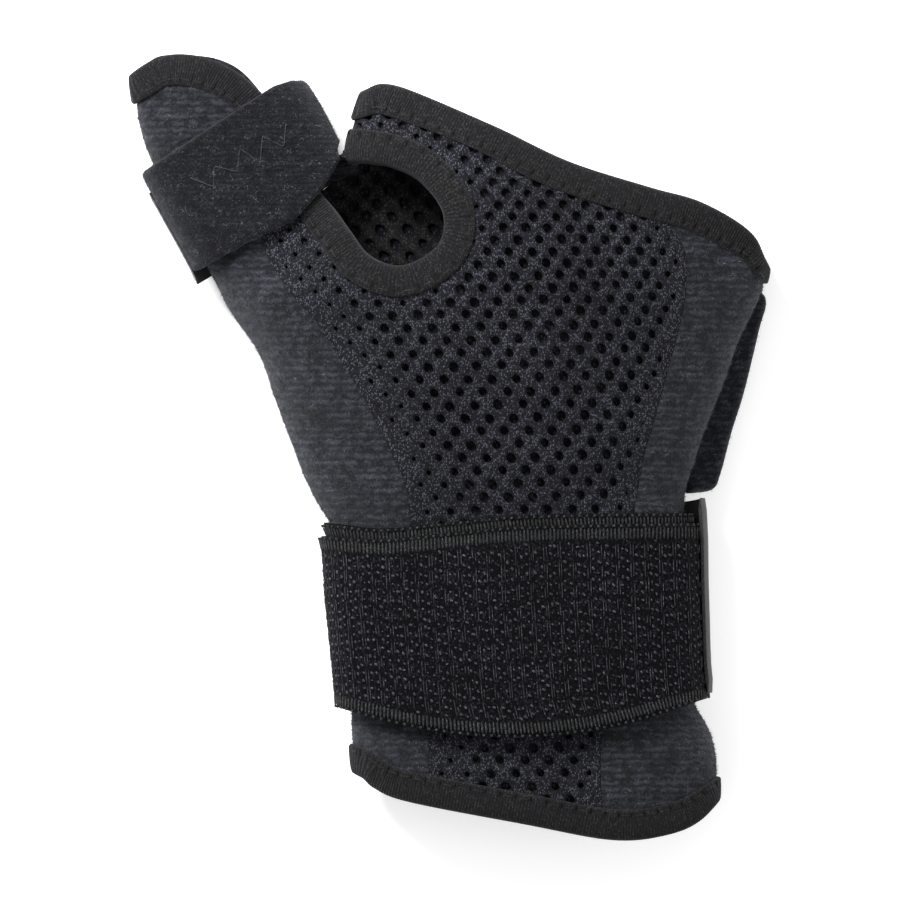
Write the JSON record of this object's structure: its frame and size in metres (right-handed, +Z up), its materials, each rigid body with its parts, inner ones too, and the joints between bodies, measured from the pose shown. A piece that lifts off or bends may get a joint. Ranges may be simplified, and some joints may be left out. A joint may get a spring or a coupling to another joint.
{
  "type": "thumb spica splint",
  "caption": "Padded wrist and thumb splint closed into a flattened sleeve, with a thumb gutter, a thumb hole, a strap round the thumb and an elastic strap round the wrist",
  "frame": {"origin": "centre of the bounding box's base, on the surface that the splint lies on", "axes": "+X points to the little finger side, +Y from the wrist to the finger end, +Z up from the back to the front of the sleeve"},
  "size_m": [0.1599, 0.1964, 0.0345],
  "materials": {
    "air_mesh": "charcoal spacer mesh with staggered round holes",
    "brushed_loop": "near-black brushed loop pile with fine ridges",
    "ribbed_tape": "dark grey ribbed elastic binding with stitches along its inner edge",
    "woven_elastic": "black woven elastic with ribs and beaded rows",
    "hook_tape": "grey hook tape, seen at its edge"
  },
  "bodies": {
    "root": {"front_mesh_panel": "air_mesh", "back_mesh_panel": "air_mesh", "left_plush_panel": "brushed_loop", "right_plush_panel": "brushed_loop", "back_flap": "brushed_loop", "top_binding": "ribbed_tape", "bottom_binding": "ribbed_tape", "thumb_hole_binding": "ribbed_tape", "thumb_flap_binding": "ribbed_tape", "thumb_strap": "brushed_loop", "thumb_strap_end": "hook_tape", "wrist_strap_under": "woven_elastic", "wrist_strap": "woven_elastic", "wrist_strap_end": "hook_tape"}
  },
  "joints": []
}
